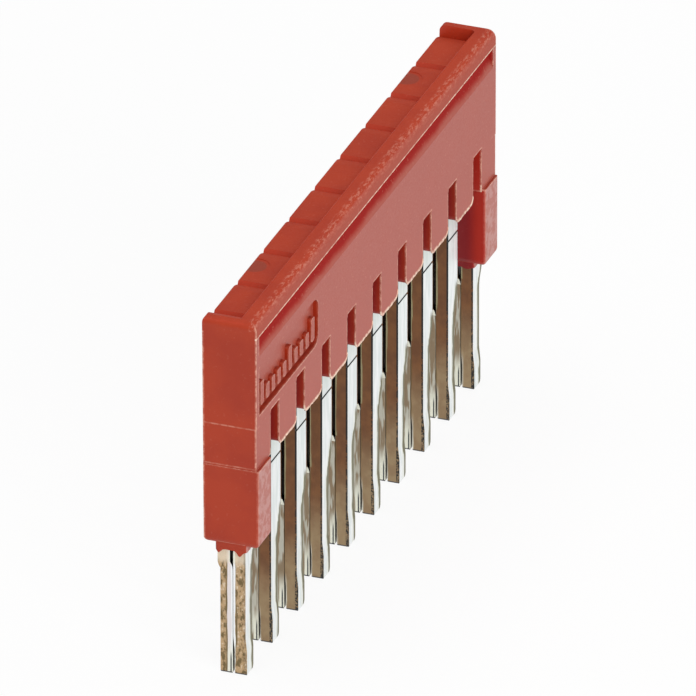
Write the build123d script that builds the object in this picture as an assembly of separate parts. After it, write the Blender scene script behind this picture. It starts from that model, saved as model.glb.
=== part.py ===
from build123d import *
import math
import os

# Ten-pole plug-in jumper bar: one red moulding around one folded, tinned copper comb.
# X runs along the row, Y through the thickness with the marked face towards -Y, Z up.
# The origin is midway along the row, halfway through the thickness, at the tooth undersides,
# which is the plane that stops on the terminal blocks. All sizes are in millimetres.

# Row
pole_count = 10
pole_pitch = 4.2

# Sheet metal comb
sheet = 0.75
fold_gap = 0.20
closed_gap = 0.03
prong_width = 1.53
prong_tip_width = 1.02
prong_length = 13.35
neck_centre_depth = 6.25
neck_length = 1.9
joggle_depth = 6.25
joggle_length = 0.3
joggle_radius = 0.4
flare = 0.09
flare_reach = 2.4
flare_length = 0.9
bend_radius = 0.9
tip_corner = 0.10
tip_necked_corner = 0.36
tip_inner_round = 0.12
tip_outer_round = 0.12
web_foot = 3.35
fold_top = 7.4
comb_shift = 0.05
score_depth = 1.65
score_width = 0.12
score_cut = 0.10

# Moulding
housing_thickness = 3.3
end_cover = 0.185
mould_gap = 0.02
draft_angle = 0.35
rail_top = 9.4
lip_edge = 8.43
rail_round = 0.52
rail_flat = 0.56
end_round = 0.45
shelf_top = 8.88
shelf_edge_round = 0.07
valley_y = -0.19
cove_depth = 0.50
cove_height = 1.25
cove_round = 0.10
end_wall = 0.45
slot_width = 1.38
slot_height = 2.87
seam_height = 2.68
tooth_round = 0.40
seam_step = 0.025
tab_length = 5.05
tab_proud = 0.16
tab_end_proud = 0.02
tab_inset = 0.30
tab_round = 0.40
tab_side_round = 0.12
collar_drop = 0.26
collar_wall = 0.10

# Row of notches along the shelf, one for each pole, and the caps that end the shelf
notch_depth = 0.24
notch_ramp = 1.05
notch_wall = 0.15
notch_shift = 0.62
near_cap_length = 1.92
near_cap_flat = 0.42
near_cap_bulge = 0.07
near_cap_round = 0.32
far_cap_length = 0.52
far_cap_round = 0.35
far_cap_lean = 0.06
far_cap_corner = 0.32
gate_radius = 0.92
gate_depth = 0.03
gate_inset = 0.25
gate_slot_count = 2

# Marking field
field_length = 9.67
field_foot = 3.41
field_height = 3.00
field_depth = 0.32
field_corner = 0.70
tick_width = 0.50
tick_gap = 0.42
tick_short = 0.95
tick_tall = 1.50
tick_margin = 0.42
tick_round = 0.12
tick_rise = 0.26

# Worked out from the sizes above
row_span = (pole_count - 1) * pole_pitch
comb_length = row_span + prong_width
housing_length = comb_length + 2 * end_cover
half_length = housing_length / 2
half_thickness = housing_thickness / 2
leaf_face = fold_gap / 2 + sheet
leaf_step = fold_gap - closed_gap
rail_back = -half_thickness + rail_round + rail_flat
notch_floor = shelf_top - notch_depth
rail_wall_foot = valley_y + (valley_y - rail_back) * notch_depth / (rail_top - shelf_top)
pole_places = [(i - (pole_count - 1) / 2) * pole_pitch for i in range(pole_count)]
slot_places = [(a + b) / 2 for a, b in zip(pole_places, pole_places[1:])]


def back_at(z):
    """Y of the back face at height z: it leans in downwards by the draft."""
    return half_thickness - (rail_top - z) * math.tan(math.radians(draft_angle))


def rail_body():
    """Front part of the moulding above the seam: flat front, rounded rail, and its sloping back wall."""
    outline = Polyline(
        (-half_thickness, seam_height),
        (-half_thickness, rail_top),
        (rail_back, rail_top),
        (rail_wall_foot, notch_floor),
        (rail_wall_foot, seam_height),
        close=True,
    )
    return extrude(Plane.YZ * make_face(outline.edges()), amount=half_length, both=True)


def shelf_body():
    """Back part of the moulding above the seam: a flat shelf, lower than the rail, cut by the notches."""
    outline = Polyline(
        (-half_thickness / 2, seam_height),
        (-half_thickness / 2, shelf_top),
        (back_at(shelf_top), shelf_top),
        (back_at(seam_height), seam_height),
        close=True,
    )
    shelf = extrude(Plane.YZ * make_face(outline.edges()), amount=half_length, both=True)
    back_edge = shelf.edges().filter_by(Axis.X).group_by(Axis.Z)[-1].sort_by(Axis.Y)[-1]
    shelf = fillet(back_edge, shelf_edge_round)
    for x in pole_places[1:-1]:
        shelf -= notch_tool(x + notch_shift)
    shelf -= notch_tool(near_cap_length - half_length)
    shelf -= notch_tool(half_length - far_cap_length)
    for mark in gate_marks():
        shelf -= mark
    return shelf


def notch_tool(x):
    """Prism that cuts one notch across the shelf: a long ramp down to x, then a short steep wall."""
    ramp_radius = (notch_ramp ** 2 + notch_depth ** 2) / (2 * notch_depth)
    clear = shelf_top + notch_depth
    with BuildSketch(Plane.XZ) as profile:
        with BuildLine():
            RadiusArc((x - notch_ramp, shelf_top), (x, notch_floor), ramp_radius)
            Polyline((x, notch_floor), (x + notch_wall, shelf_top), (x + notch_wall, clear))
            Polyline((x + notch_wall, clear), (x - notch_ramp, clear), (x - notch_ramp, shelf_top))
        make_face()
    return extrude(profile.sketch, amount=housing_thickness, both=True)


def near_cap():
    """Rounded cap over the shelf's -X end: level with the rail, then curving down into the first notch."""
    outer_x = -half_length
    flat_end = outer_x + near_cap_flat
    notch_x = outer_x + near_cap_length
    run = notch_x - flat_end
    drop = rail_top - notch_floor
    half_chord = math.hypot(run, drop) / 2
    slope_radius = (half_chord ** 2 + near_cap_bulge ** 2) / (2 * near_cap_bulge)
    back = back_at(rail_top)
    with BuildSketch(Plane.XZ) as profile:
        with BuildLine():
            RadiusArc((flat_end, rail_top), (notch_x, notch_floor), slope_radius)
            Polyline((notch_x, notch_floor), (notch_x, seam_height), (outer_x, seam_height))
            Polyline((outer_x, seam_height), (outer_x, rail_top), (flat_end, rail_top))
        make_face()
    cap = Pos(0, back, 0) * extrude(profile.sketch, amount=back - rail_back)
    return cap & leaning_room()


def leaning_room():
    """Everything in front of the drafted back face, above the seam."""
    far = 2 * housing_thickness
    outline = Polyline(
        (-far, seam_height), (back_at(seam_height), seam_height), (back_at(far + rail_top), far + rail_top),
        (-far, far + rail_top), close=True,
    )
    return extrude(Plane.YZ * make_face(outline.edges()), amount=housing_length, both=True)


def toothed_band():
    """Band below the seam, a hair back from the front, with a through slot between each two poles."""
    front = seam_step - half_thickness
    outline = Polyline(
        (front, seam_height), (back_at(seam_height), seam_height), (back_at(0), 0), (front, 0), close=True
    )
    band = extrude(Plane.YZ * make_face(outline.edges()), amount=half_length, both=True)
    for x in slot_places:
        band -= Pos(x, 0, 0) * slot_tool()
    inner_feet = band.edges().filter_by(Axis.Y).group_by(Axis.Z)[0]
    inner_feet = inner_feet.filter_by(lambda edge: abs(edge.center().X) < slot_places[-1])
    return fillet(inner_feet, tooth_round)


def slot_tool():
    return Box(slot_width, 2 * housing_thickness, slot_height, align=(Align.CENTER, Align.CENTER, Align.MIN))


def end_tab():
    """Leg at the +X end that covers the upper part of the outermost prong."""
    inner_x = slot_places[-1] + slot_width / 2 + tab_inset
    outer_x = half_length + tab_end_proud
    front = seam_step - half_thickness - tab_proud
    outline = Polyline(
        (front, 0), (back_at(0), 0), (back_at(-tab_length), -tab_length), (front, -tab_length), close=True
    )
    leg = extrude(Plane.YZ * make_face(outline.edges()), amount=outer_x - inner_x)
    leg = Pos(inner_x, 0, 0) * leg
    upright = leg.edges().filter_by(lambda edge: abs(edge.tangent_at(0.5).Z) > 0.9)
    leg = fillet(upright.sort_by(Axis.Y)[:2], tab_side_round)
    foot_edges = leg.edges().group_by(Axis.Z)[0]
    leg = fillet(foot_edges, tab_round)
    collar = Box(
        prong_width + 2 * collar_wall,
        2 * (leaf_face + collar_wall),
        tab_round + collar_drop,
        align=(Align.CENTER, Align.CENTER, Align.MIN),
    )
    collar = fillet(collar.edges().filter_by(Axis.Z), collar_wall)
    return leg + Pos(pole_places[-1], -comb_shift, -tab_length - collar_drop) * collar


def cove():
    """Screwdriver groove under the rail: a scoop that fades out downwards, closed at both ends."""
    lip_back = -half_thickness + cove_depth
    run_out = lip_edge - cove_height
    outside = -housing_thickness
    with BuildSketch(Plane.YZ) as section:
        with BuildLine():
            Polyline(
                (outside, lip_edge), (lip_back, lip_edge), (-half_thickness, run_out), (outside, run_out)
            )
            Line((outside, run_out), (outside, lip_edge))
        make_face()
        corner = section.vertices().sort_by(Axis.X)[-1]
        fillet(corner, cove_round)
    return extrude(section.sketch, amount=half_length - end_wall, both=True)


def far_cap():
    """Full-height block that ends the shelf at the +X end."""
    inner_x = half_length - far_cap_length
    back = back_at(rail_top)
    side = Polyline(
        (inner_x, notch_floor),
        (inner_x + far_cap_lean, rail_top),
        (half_length, rail_top),
        (half_length, notch_floor),
        close=True,
    )
    block = Pos(0, back, 0) * extrude(Plane.XZ * make_face(side.edges()), amount=back - rail_back)
    edge = block.edges().filter_by(Axis.X).group_by(Axis.Z)[-1].sort_by(Axis.Y)[-1]
    return fillet(edge, far_cap_round) + far_corner(inner_x + far_cap_lean)


def far_corner(x):
    """Upright fillet in the corner between the rail and the far cap's inner face at x."""
    with BuildSketch(Plane.XY.offset(notch_floor)) as plan:
        with BuildLine():
            Polyline((x - far_cap_corner, rail_back), (x, rail_back), (x, rail_back + far_cap_corner))
            RadiusArc((x, rail_back + far_cap_corner), (x - far_cap_corner, rail_back), far_cap_corner)
        make_face()
    return extrude(plan.sketch, amount=rail_top - notch_floor)


def gate_marks():
    """Two shallow round gate marks, each on the shelf between two notches, near the back edge."""
    tool = Cylinder(gate_radius, 2 * gate_depth)
    place = slot_places[-gate_slot_count]
    y = half_thickness - gate_inset
    return [Pos(x + notch_shift, y, shelf_top) * tool for x in (-place, place)]


def end_rounding():
    """The corner that the rounding takes off the whole top of the -X end, from front to back."""
    outer_x = -half_length
    start = (outer_x, rail_top - end_round)
    finish = (outer_x + end_round, rail_top)
    middle = (outer_x + end_round * (1 - math.sqrt(0.5)), rail_top - end_round * (1 - math.sqrt(0.5)))
    with BuildSketch(Plane.XZ) as profile:
        with BuildLine():
            ThreePointArc(start, middle, finish)
            Polyline(finish, (outer_x + end_round, 2 * rail_top), (2 * outer_x, 2 * rail_top))
            Polyline((2 * outer_x, 2 * rail_top), (2 * outer_x, rail_top - end_round), start)
        make_face()
    return extrude(profile.sketch, amount=housing_thickness, both=True)


def upper_body():
    """Everything above the seam, with the rail's long edge and the whole top of the -X end rounded."""
    front = rail_body() + near_cap()
    long_edge = front.edges().filter_by(Axis.X).group_by(Axis.Z)[-1].sort_by(Axis.Y)[0]
    front = fillet(long_edge, rail_round)
    cap_back = front.edges().filter_by(lambda edge: edge.center().Y > valley_y and edge.center().Z > shelf_top)
    cap_back = cap_back.filter_by(lambda edge: abs(edge.tangent_at(0.5).X) > 0.5)
    front = fillet(cap_back.group_by(Axis.Y)[-1], near_cap_round)
    return front + shelf_body() + far_cap() - end_rounding()


def marking_field():
    """Recess for a marking at the -X end of the face, with a plain row of ticks, one for each pole."""
    left = -half_length + end_wall
    face_y = -half_thickness
    recess = Box(
        field_length,
        2 * field_depth,
        field_height,
        align=(Align.MIN, Align.CENTER, Align.MIN),
    )
    recess = Pos(left, face_y, field_foot) * recess
    corner = recess.edges().filter_by(Axis.Y).group_by(Axis.X)[-1]
    recess = fillet(corner, field_corner)
    floor_y = face_y + field_depth
    for i in range(pole_count):
        tall = i % (pole_count // 2) == 0 or i == pole_count - 1
        height = tick_tall if tall else tick_short
        tick = Box(tick_width, tick_rise, height, align=(Align.CENTER, Align.MAX, Align.MIN))
        tick = fillet(tick.edges().filter_by(Axis.Y), tick_round)
        x = left + tick_margin + tick_width / 2 + i * (tick_width + tick_gap)
        recess -= Pos(x, floor_y, field_foot + tick_margin) * tick
    return recess


def sheet_path():
    """Middle line of the folded sheet, from the near tip up, over the fold and down to the far tip."""
    near = -fold_gap / 2 - sheet / 2
    far = fold_gap / 2 + sheet / 2
    fold_centre = fold_top - leaf_face
    flare_start = flare_reach - prong_length
    near_leg = FilletPolyline(
        (near - flare, -prong_length),
        (near - flare, flare_start - flare_length),
        (near, flare_start),
        (near, fold_centre),
        radius=bend_radius,
    )
    fold = CenterArc((0, fold_centre), far, 0, 180)
    far_leg = FilletPolyline(
        (far, fold_centre),
        (far, -joggle_depth),
        (far - leaf_step, -joggle_depth - joggle_length),
        (far - leaf_step, -prong_length),
        radius=joggle_radius,
    )
    return Wire(near_leg.edges() + fold.edges() + far_leg.edges())


def comb_outline():
    """Front view of the stamped sheet: a web with one prong for each pole, each with a necked edge."""
    top = fold_top + sheet
    web_centre = (web_foot + top) / 2
    outline = Pos(0, web_centre) * Rectangle(comb_length, top - web_foot)
    for x in pole_places:
        outline += prong_outline(x)
    return outline


def prong_outline(x):
    """One prong: straight on the -X side, narrowed by a flowing step on the +X side."""
    left = x - prong_width / 2
    right = x + prong_width / 2
    slim = left + prong_tip_width
    neck_top = -neck_centre_depth + neck_length / 2
    neck_foot = -neck_centre_depth - neck_length / 2
    with BuildSketch() as prong:
        with BuildLine():
            Line((left, web_foot), (right, web_foot))
            Line((right, web_foot), (right, neck_top))
            Bezier((right, neck_top), (right, -neck_centre_depth), (slim, -neck_centre_depth), (slim, neck_foot))
            Line((slim, neck_foot), (slim, -prong_length))
            Line((slim, -prong_length), (left, -prong_length))
            Line((left, -prong_length), (left, web_foot))
        make_face()
        corners = prong.vertices().group_by(Axis.Y)[0].sort_by(Axis.X)
        fillet(corners[0], tip_corner)
        fillet(prong.vertices().group_by(Axis.Y)[0].sort_by(Axis.X)[-1], tip_necked_corner)
    return prong.sketch


def folded_sheet(length):
    """The sheet before stamping: a strip of the full length, folded over and set to its bends."""
    path = Plane.YZ * sheet_path()
    start = Plane(origin=path @ 0, x_dir=(1, 0, 0), z_dir=path % 0)
    strip = sweep(start * Rectangle(length, sheet), path=path)
    tips = strip.edges().filter_by(Axis.X).group_by(Axis.Z)[0].sort_by(Axis.Y)
    strip = fillet(tips[1:3], tip_inner_round)
    outer_tips = strip.edges().filter_by(Axis.X).group_by(Axis.Z)[0].sort_by(Axis.Y)
    return fillet([outer_tips[0], outer_tips[-1]], tip_outer_round)


def contact_comb():
    strip = folded_sheet(comb_length + 2 * sheet)
    stamp = extrude(Plane.XZ * comb_outline(), amount=housing_thickness, both=True)
    comb = strip & stamp
    groove = Box(2 * comb_length, 2 * score_cut, score_width)
    near_face = -fold_gap / 2 - sheet
    comb -= Pos(0, near_face, -score_depth) * groove
    return Pos(0, -comb_shift, 0) * comb


def comb_pocket():
    """The room that the comb fills inside the moulding: the same comb, grown by the mould gap."""
    top = fold_top + mould_gap
    half_room = leaf_face + mould_gap
    centre = fold_top - leaf_face
    with BuildSketch(Plane.YZ) as section:
        with BuildLine():
            Line((-half_room, centre), (-half_room, -2 * tab_length))
            Line((-half_room, -2 * tab_length), (half_room, -2 * tab_length))
            Line((half_room, -2 * tab_length), (half_room, centre))
            ThreePointArc((half_room, centre), (0, top), (-half_room, centre))
        make_face()
    room = extrude(section.sketch, amount=comb_length / 2 + mould_gap, both=True)
    front = Pos(0, (web_foot - mould_gap + fold_top + sheet) / 2) * Rectangle(
        comb_length + 2 * mould_gap, fold_top + sheet - web_foot + mould_gap
    )
    for x in pole_places:
        leg = Rectangle(prong_width + 2 * mould_gap, 2 * tab_length + web_foot, align=(Align.CENTER, Align.MAX))
        front += Pos(x, web_foot) * leg
    stamp = extrude(Plane.XZ * front, amount=housing_thickness, both=True)
    return Pos(0, -comb_shift, 0) * (room & stamp)


def housing():
    body = upper_body()
    for x in slot_places:
        body -= Pos(x, 0, 0) * slot_tool()
    body += toothed_band()
    leg = end_tab()
    body += leg
    body += mirror(leg, about=Plane.YZ)
    body -= cove()
    body -= marking_field()
    return body - comb_pocket()


os.makedirs("parts", exist_ok=True)
parts = {"housing": housing(), "contact_comb": contact_comb()}
for name, shape in parts.items():
    print(name, shape.volume, shape.bounding_box(), len(shape.solids()), shape.is_valid)
    export_step(shape, "parts/" + name + ".step")
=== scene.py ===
# Ten-pole plug-in jumper bar: a red moulded comb over tinned copper prongs.
# Metres, in the frame of the CAD: X along the row, -Y the marked face, Z up.

import math

import bmesh
import bpy
import numpy as np
from mathutils import Matrix, Vector


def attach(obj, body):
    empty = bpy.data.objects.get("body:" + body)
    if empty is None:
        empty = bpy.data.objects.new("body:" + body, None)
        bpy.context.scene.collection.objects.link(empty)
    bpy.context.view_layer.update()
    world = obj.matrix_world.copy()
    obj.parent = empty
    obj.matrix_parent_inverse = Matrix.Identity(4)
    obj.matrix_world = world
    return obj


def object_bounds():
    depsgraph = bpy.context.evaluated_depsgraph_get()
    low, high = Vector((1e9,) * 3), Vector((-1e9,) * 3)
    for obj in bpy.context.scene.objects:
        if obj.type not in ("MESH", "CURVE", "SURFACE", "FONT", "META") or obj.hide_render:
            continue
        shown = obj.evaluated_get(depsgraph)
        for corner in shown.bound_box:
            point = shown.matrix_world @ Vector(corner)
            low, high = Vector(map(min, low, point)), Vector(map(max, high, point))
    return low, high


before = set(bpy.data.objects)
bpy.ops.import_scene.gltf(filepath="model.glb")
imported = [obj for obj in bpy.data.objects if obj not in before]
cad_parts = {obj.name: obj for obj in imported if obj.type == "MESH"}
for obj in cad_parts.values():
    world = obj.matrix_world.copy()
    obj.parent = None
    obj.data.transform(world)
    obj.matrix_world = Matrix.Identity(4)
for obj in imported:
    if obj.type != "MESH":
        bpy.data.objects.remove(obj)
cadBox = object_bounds()
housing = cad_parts["housing"]
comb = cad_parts["contact_comb"]
print("frame loaded:", ", ".join(sorted(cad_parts)))

mm = 0.001

# where the camera stood: angles in degrees, lengths in mm, picture scale in pixels per mm, clip in m
cameraView = {
    "azimuth": -69.71,
    "elevation": 27.36,
    "distance": 1800.0,
    "pixelsPerMm": 17.40,
    "pictureWidth": 696,
    "aimRight": -0.129,
    "aimUp": -1.75,
    "sensorWidth": 36.0,
    "clip": (0.01, 50.0),
}


def viewAxes(azimuth, elevation):
    # right, up and back of a camera that looks at the object from these angles
    a, e = math.radians(azimuth), math.radians(elevation)
    back = Vector((math.sin(a) * math.cos(e), -math.cos(a) * math.cos(e), math.sin(e)))
    right = Vector((math.cos(a), math.sin(a), 0.0))
    return right, back.cross(right), back


def addCamera(view):
    right, up, back = viewAxes(view["azimuth"], view["elevation"])
    aim = (right * view["aimRight"] + up * view["aimUp"]) * mm
    data = bpy.data.cameras.new("studioCamera")
    data.sensor_width = view["sensorWidth"]
    data.lens = view["sensorWidth"] * view["pixelsPerMm"] * view["distance"] / view["pictureWidth"]
    data.clip_start, data.clip_end = view["clip"]
    camera = bpy.data.objects.new("studioCamera", data)
    bpy.context.collection.objects.link(camera)
    turn = Matrix((right, up, back)).transposed().to_4x4()
    camera.matrix_world = Matrix.Translation(aim + back * view["distance"] * mm) @ turn
    bpy.context.scene.camera = camera


# floorDrop in mm, floorSize in m; soft boxes: from = where the light comes from, away and size in m, level in watts
studio = {
    "floorDrop": 0.02,
    "floorSize": 12.0,
    "floorTone": (0.93, 0.93, 0.93, 1.0),
    "floorShadow": 0.12,
    "skyLevel": 0.30,
    "skyTone": 0.80,
    "lights": [
        {"name": "rearStrip", "from": (0.833, -0.36, 0.42), "away": 0.7, "size": (0.30, 0.22), "level": 0.45},
        {"name": "overhead", "from": (-0.10, 0.15, 1.0), "away": 0.8, "size": (0.7, 0.7), "level": 4.4},
        {"name": "leftFill", "from": (-0.70, -0.75, 0.35), "away": 0.9, "size": (0.6, 0.6), "level": 4.6},
    ],
}


def whenSeen(nodes, links):
    # 1 for camera, glossy and transmission rays, 0 for the rays that light the object
    path = nodes.new("ShaderNodeLightPath")
    first = nodes.new("ShaderNodeMath")
    first.operation = "MAXIMUM"
    links.new(path.outputs["Is Camera Ray"], first.inputs[0])
    links.new(path.outputs["Is Glossy Ray"], first.inputs[1])
    second = nodes.new("ShaderNodeMath")
    second.operation = "MAXIMUM"
    links.new(first.outputs[0], second.inputs[0])
    links.new(path.outputs["Is Transmission Ray"], second.inputs[1])
    return second.outputs[0]


def floorMaterial(tone, shadow):
    material = bpy.data.materials.new("paleFloor")
    material.use_nodes = True
    nodes, links = material.node_tree.nodes, material.node_tree.links
    nodes.clear()
    output = nodes.new("ShaderNodeOutputMaterial")
    paper = nodes.new("ShaderNodeBsdfDiffuse")
    paper.inputs["Color"].default_value = tone
    white = nodes.new("ShaderNodeEmission")
    seen = nodes.new("ShaderNodeMath")
    seen.operation = "MULTIPLY"
    seen.inputs[1].default_value = 1.0 - shadow
    links.new(whenSeen(nodes, links), seen.inputs[0])
    mix = nodes.new("ShaderNodeMixShader")
    links.new(seen.outputs[0], mix.inputs["Fac"])
    links.new(paper.outputs[0], mix.inputs[1])
    links.new(white.outputs[0], mix.inputs[2])
    links.new(mix.outputs[0], output.inputs["Surface"])
    return material


def addStage(plan):
    # a pale floor under the prong tips, a plain sky and the soft boxes
    half, z = plan["floorSize"] / 2, cadBox[0][2] - plan["floorDrop"] * mm
    mesh = bpy.data.meshes.new("studioFloor")
    mesh.from_pydata([(-half, -half, z), (half, -half, z), (half, half, z), (-half, half, z)], [], [(0, 1, 2, 3)])
    mesh.materials.append(floorMaterial(plan["floorTone"], plan["floorShadow"]))
    floor = bpy.data.objects.new("studioFloor", mesh)
    bpy.context.collection.objects.link(floor)

    world = bpy.data.worlds.new("studioSky")
    world.use_nodes = True
    bpy.context.scene.world = world
    nodes, links = world.node_tree.nodes, world.node_tree.links
    nodes.clear()
    output = nodes.new("ShaderNodeOutputWorld")
    sky = nodes.new("ShaderNodeBackground")
    level = nodes.new("ShaderNodeMapRange")
    level.inputs["To Min"].default_value = plan["skyLevel"]
    level.inputs["To Max"].default_value = 1.0
    links.new(whenSeen(nodes, links), level.inputs["Value"])
    # as white as the floor where the camera sees it, greyer for all other rays
    direct, tone = nodes.new("ShaderNodeLightPath"), nodes.new("ShaderNodeMapRange")
    tone.inputs["To Min"].default_value = plan["skyTone"]
    links.new(direct.outputs["Is Camera Ray"], tone.inputs["Value"])
    links.new(tone.outputs["Result"], sky.inputs["Color"])
    links.new(level.outputs["Result"], sky.inputs["Strength"])
    links.new(sky.outputs[0], output.inputs["Surface"])

    for lamp in plan["lights"]:
        data = bpy.data.lights.new(lamp["name"], "AREA")
        data.shape = "RECTANGLE"
        data.size, data.size_y = lamp["size"]
        data.energy = lamp["level"]
        light = bpy.data.objects.new(lamp["name"], data)
        bpy.context.collection.objects.link(light)
        toward = Vector(lamp["from"]).normalized()
        light.location = toward * lamp["away"]
        light.rotation_euler = toward.to_track_quat("Z", "Y").to_euler()


addCamera(cameraView)
addStage(studio)
bpy.context.scene.view_settings.view_transform = "Standard"
print("camera and studio set")


def newGroup(name, inputs, outputs):
    # inputs: (name, kind, default); outputs: (name, kind)
    group = bpy.data.node_groups.new(name, "ShaderNodeTree")
    for label, kind, value in inputs:
        socket = group.interface.new_socket(label, in_out="INPUT", socket_type="NodeSocket" + kind)
        if value is not None:
            socket.default_value = value
    for label, kind in outputs:
        group.interface.new_socket(label, in_out="OUTPUT", socket_type="NodeSocket" + kind)
    start = group.nodes.new("NodeGroupInput")
    end = group.nodes.new("NodeGroupOutput")
    return group, start, end


def addMath(tree, operation, a, b=None, clamp=False):
    node = tree.nodes.new("ShaderNodeMath")
    node.operation, node.use_clamp = operation, clamp
    for socket, value in zip(node.inputs, (a, b)):
        if isinstance(value, bpy.types.NodeSocket):
            tree.links.new(value, socket)
        elif value is not None:
            socket.default_value = value
    return node.outputs[0]


def addRange(tree, value, low, high, toLow=0.0, toHigh=1.0, smooth=True):
    node = tree.nodes.new("ShaderNodeMapRange")
    node.interpolation_type = "SMOOTHSTEP" if smooth else "LINEAR"
    for socket, number in zip(("From Min", "From Max", "To Min", "To Max"), (low, high, toLow, toHigh)):
        if isinstance(number, bpy.types.NodeSocket):
            tree.links.new(number, node.inputs[socket])
        else:
            node.inputs[socket].default_value = number
    tree.links.new(value, node.inputs["Value"])
    return node.outputs["Result"]


def addMix(tree, factor, a, b):
    node = tree.nodes.new("ShaderNodeMix")
    node.data_type = "RGBA"
    sockets = [node.inputs["Factor"], node.inputs[6], node.inputs[7]]
    for socket, value in zip(sockets, (factor, a, b)):
        if isinstance(value, bpy.types.NodeSocket):
            tree.links.new(value, socket)
        else:
            socket.default_value = value
    return node.outputs[2]


def addNoise(tree, vector, scale, detail=2.0, rough=0.5, stretch=None):
    if stretch is not None:
        mapping = tree.nodes.new("ShaderNodeMapping")
        mapping.inputs["Scale"].default_value = stretch
        tree.links.new(vector, mapping.inputs["Vector"])
        vector = mapping.outputs["Vector"]
    noise = tree.nodes.new("ShaderNodeTexNoise")
    if isinstance(scale, bpy.types.NodeSocket):
        tree.links.new(scale, noise.inputs["Scale"])
    else:
        noise.inputs["Scale"].default_value = scale
    noise.inputs["Detail"].default_value = detail
    noise.inputs["Roughness"].default_value = rough
    tree.links.new(vector, noise.inputs["Vector"])
    return noise.outputs["Fac"]


def newMaterial(name):
    material = bpy.data.materials.new(name)
    material.use_nodes = True
    tree = material.node_tree
    shader = tree.nodes["Principled BSDF"]
    place = tree.nodes.new("ShaderNodeTexCoord").outputs["Object"]
    return material, tree, shader, place


def makePlaceGroup():
    # where a point lies, in mm, and how squarely its face looks along each axis
    tree, start, end = newGroup(
        "placeInMm",
        [("Vector", "Vector", None)],
        [("X", "Float"), ("Y", "Float"), ("Z", "Float"), ("FaceX", "Float"), ("FaceY", "Float"), ("FaceZ", "Float")],
    )
    place = tree.nodes.new("ShaderNodeSeparateXYZ")
    tree.links.new(start.outputs["Vector"], place.inputs[0])
    faces = tree.nodes.new("ShaderNodeSeparateXYZ")
    tree.links.new(tree.nodes.new("ShaderNodeNewGeometry").outputs["True Normal"], faces.inputs[0])
    for axis in "XYZ":
        tree.links.new(addMath(tree, "MULTIPLY", place.outputs[axis], 1 / mm), end.inputs[axis])
        tree.links.new(faces.outputs[axis], end.inputs["Face" + axis])
    return tree


def makeBandGroup():
    # 1 where the value lies between low and high, 0 outside, with a soft border
    tree, start, end = newGroup(
        "band",
        [("Value", "Float", 0.0), ("Low", "Float", 0.0), ("High", "Float", 1.0), ("Soft", "Float", 0.02)],
        [("Mask", "Float")],
    )
    value, soft = start.outputs["Value"], start.outputs["Soft"]
    rise = addMath(tree, "DIVIDE", addMath(tree, "SUBTRACT", value, start.outputs["Low"]), soft)
    fall = addMath(tree, "DIVIDE", addMath(tree, "SUBTRACT", start.outputs["High"], value), soft)
    inner = addRange(tree, addMath(tree, "MINIMUM", rise, fall), -1.0, 1.0)
    tree.links.new(inner, end.inputs["Mask"])
    return tree


def makeNearGroup(name, inside, samples=6):
    # how much of the object lies close by: inside finds its outer edges, outside its corners and grooves
    tree, start, end = newGroup(
        name, [("Reach", "Float", 0.1 * mm), ("Low", "Float", 0.1), ("High", "Float", 0.5)], [("Mask", "Float")]
    )
    near = tree.nodes.new("ShaderNodeAmbientOcclusion")
    near.inside, near.only_local, near.samples = inside, inside, samples
    tree.links.new(start.outputs["Reach"], near.inputs["Distance"])
    covered = addMath(tree, "SUBTRACT", 1.0, near.outputs["AO"])
    tree.links.new(addRange(tree, covered, start.outputs["Low"], start.outputs["High"]), end.inputs["Mask"])
    return tree


# the noises of plastic and metal: scale against the cloud's or the grain's, the noise itself, then its ramp
mottle = {
    "Clouds": ("Cloud", 1.0, {"detail": 4.0, "rough": 0.55}, (0.32, 0.68)),
    "Grains": ("Grain", 1.0, {"detail": 2.0}, None),
    "Specks": ("Grain", 0.45, {"detail": 1.0}, (0.66, 0.74)),
    "Streaks": ("Grain", 0.5, {"stretch": (1.0, 1.0, 0.1)}, (0.35, 0.65)),
    "Chalk": ("Grain", 0.22, {"detail": 3.0, "rough": 0.6}, (0.40, 0.60)),
}


def makeMottleGroup(plan):
    # slow clouds, fine grain, sparse specks, upright streaks and chalky patches, all from two lengths
    tree, start, end = newGroup(
        "mottle",
        [("Vector", "Vector", None), ("Cloud", "Float", 2.0), ("Grain", "Float", 0.1)],
        [(name, "Float") for name in plan],
    )
    scales = {length: addMath(tree, "DIVIDE", 1 / mm, start.outputs[length]) for length in ("Cloud", "Grain")}
    for name, (length, share, noise, ramp) in plan.items():
        scale = scales[length] if share == 1.0 else addMath(tree, "MULTIPLY", scales[length], share)
        value = addNoise(tree, start.outputs["Vector"], scale, **noise)
        tree.links.new(addRange(tree, value, *ramp) if ramp else value, end.inputs[name])
    return tree


def placeGroup(tree, group, **values):
    node = tree.nodes.new("ShaderNodeGroup")
    node.node_tree = group
    for label, value in values.items():
        if isinstance(value, bpy.types.NodeSocket):
            tree.links.new(value, node.inputs[label])
        else:
            node.inputs[label].default_value = value
    return node.outputs


inMm = makePlaceGroup()
bandGroup = makeBandGroup()
edgeGroup = makeNearGroup("outerEdge", True)
cornerShadeGroup = makeNearGroup("cornerShade", False)
mottleGroup = makeMottleGroup(mottle)


def addBand(tree, value, low, high, soft=0.02):
    return placeGroup(tree, bandGroup, Value=value, Low=low, High=high, Soft=soft)["Mask"]


def addProduct(tree, *values):
    result = values[0]
    for value in values[1:]:
        result = addMath(tree, "MULTIPLY", result, value)
    return result


def addMax(tree, *values):
    result = values[0]
    for value in values[1:]:
        result = addMath(tree, "MAXIMUM", result, value)
    return result


def addCoat(tree, tone, colour, *masks):
    # the colour laid over the tone where all masks are 1
    return addMix(tree, addProduct(tree, *masks), tone, colour)


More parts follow.
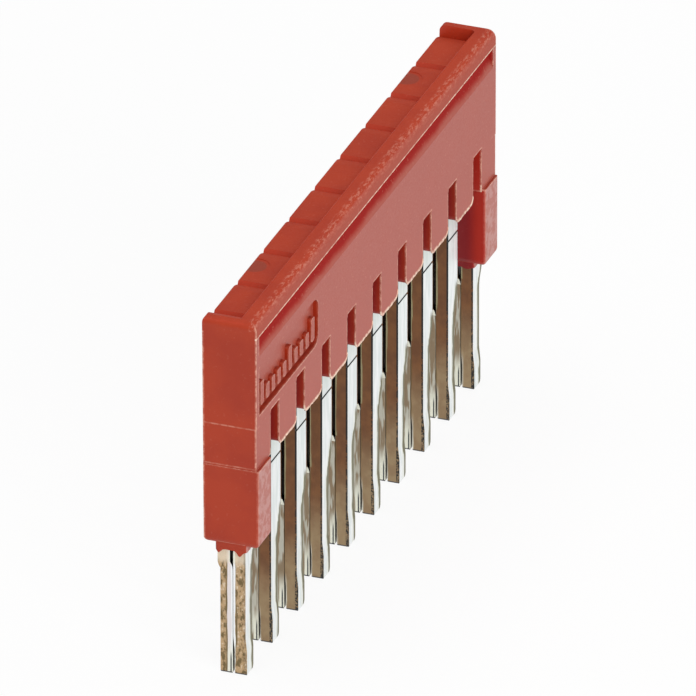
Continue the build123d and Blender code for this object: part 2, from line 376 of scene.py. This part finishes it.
def addNear(tree, group, plan):
    return placeGroup(tree, group, Reach=plan["reach"] * mm, Low=plan["low"], High=plan["high"])["Mask"]


def addShift(tree, value, noise, amount):
    # the value pushed to and fro by a noise between 0 and 1
    return addMath(tree, "ADD", value, addRange(tree, noise, 0.0, 1.0, -amount, amount, smooth=False))


def addBump(tree, shader, height, look):
    bump = tree.nodes.new("ShaderNodeBump")
    bump.inputs["Distance"].default_value = look["bumpHeight"] * mm
    bump.inputs["Strength"].default_value = look["bumpStrength"]
    tree.links.new(height, bump.inputs["Height"])
    tree.links.new(bump.outputs["Normal"], shader.inputs["Normal"])


def readPlace(tree, place, look):
    # what every part of a material reads, by name: the place in mm, the way the face looks, the mottling
    at = {"place": place}
    at.update(placeGroup(tree, inMm, Vector=place).items())
    at.update(placeGroup(tree, mottleGroup, Vector=place, Cloud=look["cloud"], Grain=look["grain"]).items())
    return at


# red polyamide: colours are linear, a share says how strongly one colour covers another, lengths in mm
redPlastic = {
    "base": (0.400, 0.034, 0.006, 1.0),
    "deep": (0.350, 0.026, 0.005, 1.0),
    "face": (0.425, 0.085, 0.055, 1.0),
    "frontSheenShare": 0.8,
    "slotWallShade": (0.230, 0.008, 0.011, 1.0),
    "tabSideShade": (0.420, 0.018, 0.008, 1.0),
    "topWallLight": (0.460, 0.036, 0.010, 1.0),
    "cornerShade": (0.230, 0.012, 0.010, 1.0),
    "cornerShadeShare": 0.28,
    "groove": (0.370, 0.009, 0.005, 1.0),
    "grooveWaver": 0.08,
    "shadowLineDark": (0.060, 0.004, 0.012, 1.0),
    "gate": (0.270, 0.034, 0.014, 1.0),
    "pale": (0.80, 0.42, 0.31, 1.0),
    "edgeShare": 0.95,
    "seamShare": 0.35,
    "railShare": 0.30,
    "speckShare": 0.12,
    "chalk": (0.62, 0.36, 0.33, 1.0),
    "chalkShare": 0.55,
    "highlightCream": (0.95, 0.72, 0.56, 1.0),
    "highlightShare": 0.95,
    "cloud": 2.6,
    "grain": 0.09,
    "flecks": {"detail": 4.0, "rough": 0.7, "stretch": (2.6, 7.0, 7.0)},
    "patchiness": {"detail": 3.0, "rough": 0.6, "stretch": (3.0, 3.0, 3.0)},
    # how far each search looks for the object itself, and the share found that starts and fills its mask
    "nearCornerShade": {"reach": 0.50, "low": 0.15, "high": 0.80},
    "nearEdge": {"reach": 0.13, "low": 0.08, "high": 0.30},
    "roughness": (0.37, 0.50),
    "matteTop": 0.62,
    "matteRail": 0.7,
    "matteShare": 0.5,
    "specular": 0.36,
    "bumpHeight": 0.008,
    "bumpStrength": 0.5,
}

# where things are on the moulding, in mm: (from, to) or (from, to, soft border)
mouldingBands = {
    # how squarely a face looks forwards, up or along the row
    "forwards": (-2.0, -0.7, 0.1),
    "upwards": (0.8, 2.0, 0.1),
    "sideways": (0.7, 2.0, 0.1),
    # distance from the middle of the row
    "slots": (-1.0, 18.6),
    "tabInside": (17.3, 18.6),
    "insideEnds": (-1.0, 19.75),
    "groove": (-1.0, 19.43, 0.01),
    "ends": (19.7, 25.0),
    "longFace": (-1.0, 19.3),
    "teeth": (-1.0, 17.6),
    "slotFeet": (-1.0, 17.4),
    # along the row
    "field": (-19.2, -9.0),
    # from front to back
    "shelfDepth": (-0.85, 1.70),
    "grooveDepth": (-1.645, -0.9, 0.005),
    "railDepth": (-1.60, -1.12, 0.12),
    "behindRail": (-1.15, 2.0),
    "outside": (-2.0, -1.56, 0.02),
    # height
    "slotHeight": (-9.0, 3.2),
    "topHeight": (8.62, 9.6, 0.08),
    "grooveHeight": (6.72, 8.41),
    "shelfHeight": (8.5, 9.0),
    "railHeight": (8.95, 9.6, 0.1),
    "railFront": (8.45, 9.6),
    "tabHeight": (-6.0, 0.03),
    "endSeams": ((2.615, 2.705, 0.02), (0.065, 0.155, 0.02)),
    "faceSeam": (2.55, 2.80),
    "coveFoot": (6.25, 7.4),
    "tops": (8.5, 9.6),
    "collars": (-9.0, -4.9),
    "fieldHeight": (3.5, 6.3),
    "lip": (8.41, 8.50, 0.02),
    "toothFeet": (-0.3, 0.42, 0.05),
    "footLine": (-0.02, 0.07),
    # the round gate marks: centres along the row, depth, and the band of their radius
    "gateCentres": (-11.98, 13.22),
    "gateDepth": 1.40,
    "gateDisc": (-1.0, 0.72, 0.07),
}

# ramps over the moulding: (from, to), or (from, to, value at from, value at to)
mouldingRamps = {
    # over depth, height or the distance from the middle of the row
    "slotDepth": (-1.75, -0.9, 0.15, 1.0),
    "tabSideDepth": (-0.5, -1.5),
    "cornerShadeHeight": (8.3, 8.7, 1.0, 0.15),
    "grooveFoot": (7.22, 7.72),
    "tabInnerCorner": (17.50, 18.00),
    # over the way a face looks
    "steep": (0.9, 0.4),
    "notNearEnd": (-0.5, -0.2),
    "fainterOnTop": (0.3, 0.9, 1.0, 0.45),
    "matteTop": (0.3, 0.8),
    # over a noise or a mask
    "flecks": (0.46, 0.66),
    "fewerSpecks": (0.0, 1.0, 0.3, 1.0),
    "patchy": (0.38, 0.60, 0.30, 1.0),
    "grainBreaks": (0.25, 0.60, 0.45, 1.0),
    "patches": (0.0, 1.0, 0.35, 1.0),
    "fainterInField": (0.0, 1.0, 1.0, 0.45),
    "roughGrain": (0.2, 0.8),
}


def readMoulding(tree, place, look, bands, ramps):
    at = readPlace(tree, place, look)
    at["wide"] = addMath(tree, "ABSOLUTE", at["X"])
    at["front"] = addBand(tree, at["FaceY"], *bands["forwards"])
    across = addBand(tree, addMath(tree, "ABSOLUTE", at["FaceX"]), *bands["sideways"])
    slots = addBand(tree, at["wide"], *bands["slots"])
    at["walls"] = addProduct(tree, across, slots, addBand(tree, at["Z"], *bands["slotHeight"]))
    at["inGroove"] = addProduct(
        tree,
        addBand(tree, at["wide"], *bands["groove"]),
        addBand(tree, at["Z"], *bands["grooveHeight"]),
        addBand(tree, at["Y"], *bands["grooveDepth"]),
        addRange(tree, addShift(tree, at["Z"], at["Clouds"], look["grooveWaver"]), *ramps["grooveFoot"]),
    )
    at["patchy"] = addRange(tree, addNoise(tree, place, 1 / mm, **look["patchiness"]), *ramps["patchy"])
    return at


def paintMoulding(tree, at, look, bands, ramps):
    tone = addMix(tree, at["Clouds"], look["deep"], look["base"])
    # painted sheen: a pinker tone on the faces that look forwards
    tone = addCoat(tree, tone, look["face"], at["front"], look["frontSheenShare"])
    # painted shade on the walls of the slots, darker towards the back
    tone = addCoat(tree, tone, look["slotWallShade"], at["walls"], addRange(tree, at["Y"], *ramps["slotDepth"]))
    # painted shade on the inner sides of the end tabs, brighter towards the front
    inside = addBand(tree, at["wide"], *bands["tabInside"])
    tone = addCoat(tree, tone, look["tabSideShade"], at["walls"], inside, addRange(tree, at["Y"], *ramps["tabSideDepth"]))
    # painted light on the low walls of the notches and of the far cap
    topWalls = addProduct(
        tree,
        addBand(tree, at["Z"], *bands["topHeight"]),
        addRange(tree, at["FaceZ"], *ramps["steep"]),
        addBand(tree, at["wide"], *bands["insideEnds"]),
        addBand(tree, at["Y"], *bands["shelfDepth"]),
    )
    tone = addCoat(tree, tone, look["topWallLight"], topWalls)
    # painted shade in every inner corner, fainter on the tops, and in the groove under the rail
    lower = addRange(tree, at["Z"], *ramps["cornerShadeHeight"])
    cornerShade = addNear(tree, cornerShadeGroup, look["nearCornerShade"])
    tone = addCoat(tree, tone, look["cornerShade"], cornerShade, lower, look["cornerShadeShare"])
    # painted shade under the rail's lip, in the groove
    tone = addCoat(tree, tone, look["groove"], at["inGroove"])
    # two round gate marks on the shelf
    up = addBand(tree, at["FaceZ"], *bands["upwards"])
    shelf = addProduct(tree, up, addBand(tree, at["Z"], *bands["shelfHeight"]))
    for centre in bands["gateCentres"]:
        dx = addMath(tree, "SUBTRACT", at["X"], centre)
        dy = addMath(tree, "SUBTRACT", at["Y"], bands["gateDepth"])
        squares = addMath(tree, "ADD", addProduct(tree, dx, dx), addProduct(tree, dy, dy))
        disc = addBand(tree, addMath(tree, "SQRT", squares), *bands["gateDisc"])
        tone = addCoat(tree, tone, look["gate"], disc, shelf)
    # chalky front faces of the end tabs
    corner = addRange(tree, at["wide"], *ramps["tabInnerCorner"])
    tabs = addProduct(tree, at["front"], corner, addBand(tree, at["Z"], *bands["tabHeight"]))
    patches = addRange(tree, at["Chalk"], *ramps["patches"])
    return addCoat(tree, tone, look["chalk"], tabs, patches, look["chalkShare"])


def findKeptEdges(tree, at, bands, ramps):
    # 1 where outer edges show a light line: not at the seam and the cove's foot of the long face, not
    # behind the rail and not on the collars; fainter on tops and in the marking field
    bare = addMax(tree, addBand(tree, at["Z"], *bands["faceSeam"]), addBand(tree, at["Z"], *bands["coveFoot"]))
    longFace = addBand(tree, at["wide"], *bands["longFace"])
    bare = addProduct(tree, bare, longFace, addRange(tree, at["FaceX"], *ramps["notNearEnd"]))
    behind = addProduct(tree, addBand(tree, at["Z"], *bands["tops"]), addBand(tree, at["Y"], *bands["behindRail"]))
    bare = addMax(tree, bare, behind, addBand(tree, at["Z"], *bands["collars"]))
    field = addProduct(tree, addBand(tree, at["X"], *bands["field"]), addBand(tree, at["Z"], *bands["fieldHeight"]))
    return addProduct(
        tree,
        addMath(tree, "SUBTRACT", 1.0, bare),
        addRange(tree, at["FaceZ"], *ramps["fainterOnTop"]),
        addRange(tree, field, *ramps["fainterInField"]),
    )


def paintLightLines(tree, at, tone, look, bands, ramps):
    # pale bloom: a few specks, and painted highlight flecks along the rail's rounding
    fewer = addRange(tree, at["front"], *ramps["fewerSpecks"])
    specks = addProduct(tree, at["Specks"], fewer, look["speckShare"])
    flecks = addRange(tree, addNoise(tree, at["place"], 1 / mm, **look["flecks"]), *ramps["flecks"])
    rail = addProduct(tree, addBand(tree, at["Z"], *bands["railHeight"]), addBand(tree, at["Y"], *bands["railDepth"]))
    pale = addMax(tree, specks, addProduct(tree, rail, flecks, look["railShare"]))
    # painted highlights in thin broken lines: on the seams across the ends, then on the outer edges
    ends = addBand(tree, at["wide"], *bands["ends"])
    for band in bands["endSeams"]:
        seam = addProduct(tree, ends, at["patchy"], addBand(tree, at["Z"], *band), look["seamShare"])
        pale = addMax(tree, pale, seam)
    edge = addNear(tree, edgeGroup, look["nearEdge"])
    grainBreaks = addRange(tree, at["Grains"], *ramps["grainBreaks"])
    kept = findKeptEdges(tree, at, bands, ramps)
    pale = addMax(tree, pale, addProduct(tree, edge, grainBreaks, at["patchy"], kept, look["edgeShare"]))
    tone = addCoat(tree, tone, look["pale"], pale)
    # the brightest painted highlights: lines along the lip and under the teeth
    teeth = addBand(tree, at["wide"], *bands["teeth"])
    feet = addProduct(tree, edge, addBand(tree, at["Z"], *bands["toothFeet"]), teeth)
    lines = addMax(tree, addBand(tree, at["Z"], *bands["lip"]), feet)
    outside = addBand(tree, at["Y"], *bands["outside"])
    tone = addCoat(tree, tone, look["highlightCream"], lines, outside, at["patchy"], look["highlightShare"])
    # a painted shadow line at the foot of each slot wall
    slotFeet = addBand(tree, at["wide"], *bands["slotFeet"])
    return addCoat(tree, tone, look["shadowLineDark"], at["walls"], addBand(tree, at["Z"], *bands["footLine"]), slotFeet)


def makeRedPlastic(look, bands, ramps):
    material, tree, shader, place = newMaterial("redMoulding")
    at = readMoulding(tree, place, look, bands, ramps)
    tone = paintMoulding(tree, at, look, bands, ramps)
    tone = paintLightLines(tree, at, tone, look, bands, ramps)
    tree.links.new(tone, shader.inputs["Base Color"])
    # duller in the groove, on the tops and on the rail's rounding
    rough = addRange(tree, at["Grains"], *ramps["roughGrain"], *look["roughness"])
    up = addRange(tree, at["FaceZ"], *ramps["matteTop"], 0.0, look["matteTop"])
    rounding = addProduct(tree, addBand(tree, at["Z"], *bands["railFront"]), at["front"], look["matteRail"])
    matte = addMax(tree, at["inGroove"], up, rounding)
    rough = addMath(tree, "ADD", rough, addProduct(tree, matte, look["matteShare"]), clamp=True)
    tree.links.new(rough, shader.inputs["Roughness"])
    shader.inputs["Specular IOR Level"].default_value = look["specular"]
    addBump(tree, shader, at["Grains"], look)
    return material


# tin over copper, with bare stamped edges: colours are linear, shares and lengths as above
tinnedCopper = {
    "tin": (0.90, 0.92, 0.92, 1.0),
    "tinStreak": (0.74, 0.79, 0.78, 1.0),
    "tinInShadow": (0.60, 0.66, 0.62, 1.0),
    "copper": (0.200, 0.080, 0.024, 1.0),
    "copperDeep": (0.145, 0.054, 0.016, 1.0),
    "drawn": (0.340, 0.240, 0.130, 1.0),
    "drawnDeep": (0.260, 0.190, 0.115, 1.0),
    "farLeaf": (0.520, 0.510, 0.430, 1.0),
    "innerLine": (0.330, 0.300, 0.160, 1.0),
    "oliveLine": (0.090, 0.076, 0.001, 1.0),
    "highlightCream": (0.84, 0.85, 0.73, 1.0),
    "edgeHighlightShare": 0.85,
    "slitHighlightShare": 0.9,
    "slitTip": (0.240, 0.225, 0.185, 1.0),
    "gap": (0.006, 0.006, 0.006, 1.0),
    "shadeLineDark": (0.035, 0.038, 0.045, 1.0),
    "scoreShare": 0.9,
    "gold": (0.480, 0.320, 0.165, 1.0),
    "goldDeep": (0.150, 0.100, 0.032, 1.0),
    "goldLineShare": 0.7,
    "goldPale": (0.78, 0.66, 0.50, 1.0),
    "goldSpeckShare": 0.5,
    "goldTopShare": 0.8,
    "pressed": (0.78, 0.72, 0.71, 1.0),
    "blotches": {"detail": 3.0, "rough": 0.65, "stretch": (3.5, 3.5, 1.8)},
    "cloud": 0.8,
    "grain": 0.10,
    # roughness of a plated face and of a bare edge; metal of a plated face, and of a lead-in against it
    "roughness": (0.30, 0.6),
    "metal": 0.85,
    "leadInMetal": 0.5,
    "bumpHeight": 0.010,
    "bumpStrength": 0.4,
}

# the comb's own lines, in mm: slit and closedSlit say how far they lie from the middle of the thickness
# and of the slit; a waver is how far a streak pushes a line to and fro
combLines = {
    "poles": 10,
    "pitch": 4.2,
    "slit": 0.05,
    "closedSlit": 0.015,
    "waver": 0.03,
    "oliveWaver": 0.06,
}

# where things are on the comb, in mm: (from, to) or (from, to, soft border)
combBands = {
    # how squarely a face looks along the row
    "sideways": (0.6, 2.0, 0.1),
    # along the row
    "openSide": (-25.0, -19.3),
    # height
    "lower": (-20.0, -6.25, 0.15),
    "upper": (-6.20, 5.0, 0.05),
    "belowNeck": (-20.0, -5.0, 0.3),
    "score": (-1.72, -1.58, 0.02),
    "slitTips": (-20.0, -11.9, 0.5),
    "leadInTips": (-20.0, -11.6, 0.8),
    "slitEndTips": (-20.0, -12.1, 0.3),
    "stepHeight": (-6.60, -6.25),
    "goldTop": (-6.2, 5.0, 0.25),
    "foot": (-20.0, -13.24, 0.03),
    # in from the trimmed edge
    "edgeHighlightLine": (0.34, 0.48, 0.04),
    "oliveLine": (-1.0, 0.31, 0.03),
    # through the two leaves, from the slit
    "nearFace": (-2.0, -0.55),
    "betweenLeaves": (-0.22, 0.22),
    "slitEnd": (0.00, 0.08, 0.02),
    "stepDepth": (-0.1, 0.12),
    "closedSlit": (-0.06, 0.03, 0.015),
    "outerEdge": (-1.15, -0.735, 0.02),
    "beside": (0.03, 0.19, 0.02),
    # the same, wavering
    "farLeaf": (-0.07, 2.0),
    "innerLine": (-0.17, -0.08, 0.02),
    "goldLine": (-0.14, -0.09, 0.02),
    "leadIn": (-0.22, 0.26, 0.05),
    "pressedTin": (-0.24, 0.02, 0.03),
    "pressed": (-0.23, 0.27, 0.02),
    "nearGoldLine": (-0.32, -0.23, 0.02),
    "farGoldLine": (0.27, 0.37, 0.02),
}

# ramps over the comb: (from, to), or (from, to, value at from, value at to)
combRamps = {
    # over height or along the row
    "shadeUp": (-2.4, -0.3, 0.0, 0.7),
    "trimmedEdge": (-7.20, -5.30, 0.255, 0.765),
    "drawnDown": (-7.5, -11.0),
    "firstProng": (-19.4, -19.2, 0.35, 1.0),
    # over a noise
    "drawnClouds": (0.0, 1.0, 0.7, 1.0),
    "farStreaks": (0.30, 0.70),
    "blotchGold": (0.40, 0.53),
    "blotchPale": (0.56, 0.70, 0.0, 0.8),
    "nearGoldStreaks": 1.3,
    "farGoldStreaks": 1.2,
    "brokenLine": (0.35, 0.55),
}


def readComb(tree, place, look, lines, bands, ramps):
    # u across each prong from its middle, v through the two leaves from the slit
    at = readPlace(tree, place, look)
    row = addMath(tree, "ADD", at["X"], lines["poles"] / 2 * lines["pitch"])
    u = addMath(tree, "SUBTRACT", addMath(tree, "FLOORED_MODULO", row, lines["pitch"]), lines["pitch"] / 2)
    at["v"] = addMath(tree, "ADD", at["Y"], lines["slit"])
    at["wavy"] = addShift(tree, at["v"], at["Streaks"], lines["waver"])
    at["lower"] = addBand(tree, at["Z"], *bands["lower"])
    at["upper"] = addBand(tree, at["Z"], *bands["upper"])
    # a painted highlight line and an olive line along the trimmed edge, which follows the neck
    inset = addMath(tree, "SUBTRACT", addRange(tree, at["Z"], *ramps["trimmedEdge"]), u)
    belowNeck = addBand(tree, at["Z"], *bands["belowNeck"])
    at["nearFace"] = addBand(tree, at["v"], *bands["nearFace"])
    at["edgeHighlightLine"] = addProduct(tree, addBand(tree, inset, *bands["edgeHighlightLine"]), belowNeck, at["nearFace"])
    pushed = addShift(tree, inset, at["Streaks"], lines["oliveWaver"])
    at["oliveLine"] = addProduct(tree, addBand(tree, pushed, *bands["oliveLine"]), belowNeck, at["nearFace"])
    # painted highlights on the lead-ins each side of the slit at the tips, and painted shade at the end of the slit
    # between them
    leadInTips = addBand(tree, at["Z"], *bands["leadInTips"])
    at["leadIn"] = addProduct(tree, addBand(tree, at["wavy"], *bands["leadIn"]), leadInTips)
    slitEndTips = addBand(tree, at["Z"], *bands["slitEndTips"])
    at["slitEnd"] = addProduct(tree, addBand(tree, at["v"], *bands["slitEnd"]), slitEndTips)
    return at


def paintPlated(tree, at, look, bands, ramps):
    # upright streaks, painted shadow of the housing up by the teeth, the score line painted dark as the shade in its
    # groove, a painted highlight line and an olive line along the trimmed edge
    tone = addMix(tree, at["Streaks"], look["tinStreak"], look["tin"])
    tone = addCoat(tree, tone, look["tinInShadow"], addRange(tree, at["Z"], *ramps["shadeUp"]))
    score = addBand(tree, at["Z"], *bands["score"])
    tone = addCoat(tree, tone, look["shadeLineDark"], score, at["nearFace"], look["scoreShare"])
    tone = addCoat(tree, tone, look["highlightCream"], at["edgeHighlightLine"], look["edgeHighlightShare"])
    tone = addCoat(tree, tone, look["oliveLine"], at["oliveLine"])
    # painted shade between the leaves, lighter at the tips
    between = addBand(tree, at["v"], *bands["betweenLeaves"])
    tone = addCoat(tree, tone, look["gap"], between)
    return addCoat(tree, tone, look["slitTip"], between, addBand(tree, at["Z"], *bands["slitTips"]))


def paintBareEdge(tree, at, look, bands, ramps):
    # brown copper above, drawn grey below, a paler far leaf
    tone = addMix(tree, at["Clouds"], look["copperDeep"], look["copper"])
    drawnClouds = addRange(tree, at["Clouds"], *ramps["drawnClouds"])
    tone = addCoat(tree, tone, look["drawn"], addRange(tree, at["Z"], *ramps["drawnDown"]), drawnClouds)
    farTone = addMix(tree, addRange(tree, at["Streaks"], *ramps["farStreaks"]), look["farLeaf"], look["drawnDeep"])
    tone = addCoat(tree, tone, farTone, addBand(tree, at["wavy"], *bands["farLeaf"]), at["lower"])
    # fine lines beside the slit
    tone = addCoat(tree, tone, look["innerLine"], addBand(tree, at["wavy"], *bands["innerLine"]), at["upper"])
    goldLine = addBand(tree, at["wavy"], *bands["goldLine"])
    tone = addCoat(tree, tone, look["goldDeep"], goldLine, at["lower"], look["goldLineShare"])
    # painted highlights on the lead-ins, then painted shade at the slit's end
    tone = addCoat(tree, tone, look["highlightCream"], at["leadIn"])
    tone = addCoat(tree, tone, look["shadeLineDark"], at["slitEnd"])
    # a painted highlight where the far leaf steps in
    stepHeight = addBand(tree, at["Z"], *bands["stepHeight"])
    return addCoat(tree, tone, look["highlightCream"], stepHeight, addBand(tree, at["v"], *bands["stepDepth"]))


def paintOpenSide(tree, at, look, lines, bands, ramps):
    # the first prong's open side: gold bands with specks, a smooth pressed band between
    blotches = addNoise(tree, at["place"], 1 / mm, **look["blotches"])
    gold = addMix(tree, addRange(tree, blotches, *ramps["blotchGold"]), look["goldDeep"], look["gold"])
    gold = addCoat(tree, gold, look["goldPale"], addRange(tree, blotches, *ramps["blotchPale"]))
    gold = addCoat(tree, gold, look["goldPale"], at["Specks"], look["goldSpeckShare"])
    pressed = addMix(tree, addBand(tree, at["wavy"], *bands["pressedTin"]), look["pressed"], look["tin"])
    tone = addCoat(tree, gold, pressed, addBand(tree, at["wavy"], *bands["pressed"]))
    nearLine, farLine = (addBand(tree, at["wavy"], *bands[name]) for name in ("nearGoldLine", "farGoldLine"))
    tone = addCoat(tree, tone, look["goldDeep"], nearLine, at["Streaks"], ramps["nearGoldStreaks"])
    tone = addCoat(tree, tone, look["goldDeep"], farLine, at["Streaks"], ramps["farGoldStreaks"])
    tone = addCoat(tree, tone, look["goldPale"], addBand(tree, at["Z"], *bands["goldTop"]), look["goldTopShare"])
    # painted highlights each side of the closed slit, then painted shade in the slit itself
    offset = addMath(tree, "ABSOLUTE", addMath(tree, "ADD", at["v"], lines["closedSlit"]))
    beside = addProduct(tree, addBand(tree, offset, *bands["beside"]), at["upper"])
    tone = addCoat(tree, tone, look["highlightCream"], addMax(tree, beside, at["leadIn"]), look["slitHighlightShare"])
    tone = addCoat(tree, tone, look["shadeLineDark"], at["slitEnd"])
    return addCoat(tree, tone, look["gap"], addBand(tree, at["v"], *bands["closedSlit"]), at["upper"])


def makeTinnedCopper(look, lines, bands, ramps):
    material, tree, shader, place = newMaterial("tinnedCopper")
    at = readComb(tree, place, look, lines, bands, ramps)
    plated = paintPlated(tree, at, look, bands, ramps)
    bare = paintBareEdge(tree, at, look, bands, ramps)
    openSide = paintOpenSide(tree, at, look, lines, bands, ramps)
    bare = addCoat(tree, bare, openSide, addBand(tree, at["X"], *bands["openSide"]))
    # painted shade in dark lines: along the outer edge of the near leaf and at the foot of each prong
    outer = addBand(tree, at["v"], *bands["outerEdge"])
    first = addRange(tree, at["X"], *ramps["firstProng"])
    broken = addMax(tree, addRange(tree, at["Grains"], *ramps["brokenLine"]), at["upper"])
    bare = addCoat(tree, bare, look["gap"], outer, first, broken)
    bare = addCoat(tree, bare, look["shadeLineDark"], addBand(tree, at["Z"], *bands["foot"]))
    side = addBand(tree, addMath(tree, "ABSOLUTE", at["FaceX"]), *bands["sideways"])
    tree.links.new(addMix(tree, side, plated, bare), shader.inputs["Base Color"])
    # metal on the plated faces and partly on the lead-ins, but not on the trimmed edge's olive line
    leadIn = addProduct(tree, at["leadIn"], look["leadInMetal"])
    bright = addMax(tree, addMath(tree, "SUBTRACT", 1.0, side), leadIn)
    bright = addMath(tree, "SUBTRACT", bright, at["oliveLine"], clamp=True)
    tree.links.new(addProduct(tree, bright, look["metal"]), shader.inputs["Metallic"])
    tree.links.new(addRange(tree, side, 0.0, 1.0, *look["roughness"]), shader.inputs["Roughness"])
    addBump(tree, shader, addMath(tree, "ADD", at["Streaks"], at["Grains"]), look)
    return material


def dress(obj, material):
    for socket in obj.material_slots:
        socket.material = material


dress(housing, makeRedPlastic(redPlastic, mouldingBands, mouldingRamps))
dress(comb, makeTinnedCopper(tinnedCopper, combLines, combBands, combRamps))
print("materials on both pieces")


# thin flash left by the mould: ragged fins under the teeth, ragged rims under the end collars; sizes in mm
toothFlash = {
    "poles": 8,
    "pitch": 4.2,
    "halfWidth": 1.41,
    "cornerRadius": 0.40,
    "front": -1.640,
    "thickness": 0.06,
    # how far it reaches: at least this much, plus a ragged depth of which one share is even
    "least": 0.02,
    "depth": 0.11,
    "evenShare": 0.35,
    "raggedShare": 0.65,
    "fadePower": 0.35,
    "sunk": 0.03,
    "steps": 64,
    "seed": 40,
    "waves": (2, 5, 9, 14, 23),
}
collarFlash = {
    "poles": (-18.9, 18.9),
    "middle": -0.05,
    "halfWidth": 0.872,
    "halfDepth": 0.957,
    "power": 16,
    "foot": -5.30,
    "thickness": 0.09,
    # how far it hangs down: at least this much, plus a ragged depth, plus the lobes
    "least": 0.03,
    "ragged": 0.07,
    # each lobe: where from front to back, width, depth; then their share at each pole
    "lobes": ((0.75, 0.15, 0.24), (-0.52, 0.20, 0.34)),
    "lobeShares": (1.0, 0.25),
    # the lobes hang where this start less this slope times the way along +X is above 0
    "lobeSide": (0.5, 3),
    "innerShare": 0.9,
    "lift": 0.06,
    "steps": 160,
    "seed": 71,
    "waves": (3, 4, 7, 11, 19),
}


def raggedEdge(steps, seed, waves, closed):
    # heights from 0 to 1 along an edge: a sum of sines of rising pitch and falling size, with seeded phases
    along = np.linspace(0.0, 1.0, steps, endpoint=not closed)
    phases = np.random.default_rng(seed).uniform(0.0, 2 * np.pi, len(waves))
    heights = sum(np.sin(2 * np.pi * count * along + phase) / np.sqrt(count) for count, phase in zip(waves, phases))
    heights = (heights - heights.min()) / (heights.max() - heights.min())
    return along, heights


def addGridPiece(name, loops, closed, material):
    # loops is an array of strips x steps x section x 3, in mm: each section loop of 4 points is joined to
    # the next one along its strip, and the two ends are joined to each other or capped
    strips, steps, section, _ = loops.shape
    corner = np.arange(strips * steps * section).reshape(strips, steps, section)
    ahead = np.roll(corner, -1, axis=1)
    here, there = (corner, ahead) if closed else (corner[:, :-1], ahead[:, :-1])
    quads = np.stack([here, there, np.roll(there, -1, axis=2), np.roll(here, -1, axis=2)], axis=-1).reshape(-1, 4)
    if not closed:
        quads = np.concatenate([quads, corner[:, 0, :4], corner[:, -1, 3::-1][:, :4]])
    mesh = bpy.data.meshes.new(name)
    mesh.from_pydata((loops.reshape(-1, 3) * mm).tolist(), [], quads.tolist())
    mesh.validate()
    piece = bpy.data.objects.new(name, mesh)
    bpy.context.collection.objects.link(piece)
    mesh.materials.append(material)
    tidy = bmesh.new()
    tidy.from_mesh(mesh)
    bmesh.ops.recalc_face_normals(tidy, faces=tidy.faces)
    tidy.to_mesh(mesh)
    tidy.free()
    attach(piece, "root")
    return piece


def addToothFlash(plan, material):
    # the foot of a tooth in front view: a flat run between two quarter circles, carried out along its
    # outward normal n by reach = least + depth (evenShare + raggedShare h) sin(pi t)^fadePower, where h is
    # the ragged height and t runs from 0 to 1 along the foot; it starts sunk into the tooth
    steps, radius, half, sunk = plan["steps"], plan["cornerRadius"], plan["halfWidth"], plan["sunk"]
    turn = np.pi / 2 * radius
    flat = 2 * (half - radius)
    s = np.linspace(0.0, 2 * turn + flat, steps)
    angle = np.clip(s / turn, 0.0, 1.0) + np.clip((s - turn - flat) / turn, 0.0, 1.0)
    angle = np.pi + angle * np.pi / 2
    centre = -half + radius + np.clip(s - turn, 0.0, flat)
    normal = np.stack([np.cos(angle), np.zeros(steps), np.sin(angle)], axis=-1)
    back = np.array([0.0, plan["thickness"], 0.0])
    strips = []
    for number in range(plan["poles"]):
        along, height = raggedEdge(steps, plan["seed"] + number, plan["waves"], False)
        fade = np.sin(np.pi * along) ** plan["fadePower"]
        uneven = plan["evenShare"] + plan["raggedShare"] * height
        reach = (plan["least"] + plan["depth"] * uneven * fade)[:, None]
        base = np.stack([centre, np.zeros(steps), np.full(steps, radius)], axis=-1) + normal * (radius - sunk)
        tip = base + normal * (sunk + reach)
        strip = np.stack([base, tip, tip + back, base + back], axis=1)
        strip += np.array([(number - (plan["poles"] - 1) / 2) * plan["pitch"], plan["front"], 0.0])
        strips.append(strip)
    return addGridPiece("tooth_flash", np.array(strips), False, material)


def addCollarFlash(plan, material):
    # round each end prong: a superellipse |x/a|^power + |y/b|^power = 1 in plan, hung down by
    # least + ragged h + lobes, where h is the ragged height and each lobe is depth exp(-((y - row)/width)^2)
    # on the side facing -X, strong at the first prong and faint at the last
    steps, power = plan["steps"], plan["power"]
    angle = np.linspace(0.0, 2 * np.pi, steps, endpoint=False)
    c, s = np.cos(angle), np.sin(angle)
    size = (np.abs(c) ** power + np.abs(s) ** power) ** (-1 / power)
    outward = np.stack([c * size * plan["halfWidth"], s * size * plan["halfDepth"], np.zeros(steps)], axis=-1)
    inward = outward * (1 - plan["thickness"] / plan["halfWidth"])
    sideStart, sideSlope = plan["lobeSide"]
    lobes = sum(deep * np.exp(-(((outward[:, 1] - row) / wide) ** 2)) for row, wide, deep in plan["lobes"])
    lobes = lobes * np.clip(sideStart - sideSlope * c, 0.0, 1.0)
    lift = np.array([0.0, 0.0, plan["lift"]])
    strips = []
    for number, (pole, share) in enumerate(zip(plan["poles"], plan["lobeShares"])):
        _, height = raggedEdge(steps, plan["seed"] + number, plan["waves"], True)
        drop = np.zeros((steps, 3))
        drop[:, 2] = -(plan["least"] + plan["ragged"] * height + lobes * share)
        innerDrop = drop * plan["innerShare"]
        strip = np.stack([outward + lift, outward + drop, inward + innerDrop, inward + lift], axis=1)
        strip += np.array([pole, plan["middle"], plan["foot"]])
        strips.append(strip)
    return addGridPiece("collar_flash", np.array(strips), True, material)


redMoulding = housing.material_slots[0].material
addToothFlash(toothFlash, redMoulding)
addCollarFlash(collarFlash, redMoulding)
print("moulding flash added")
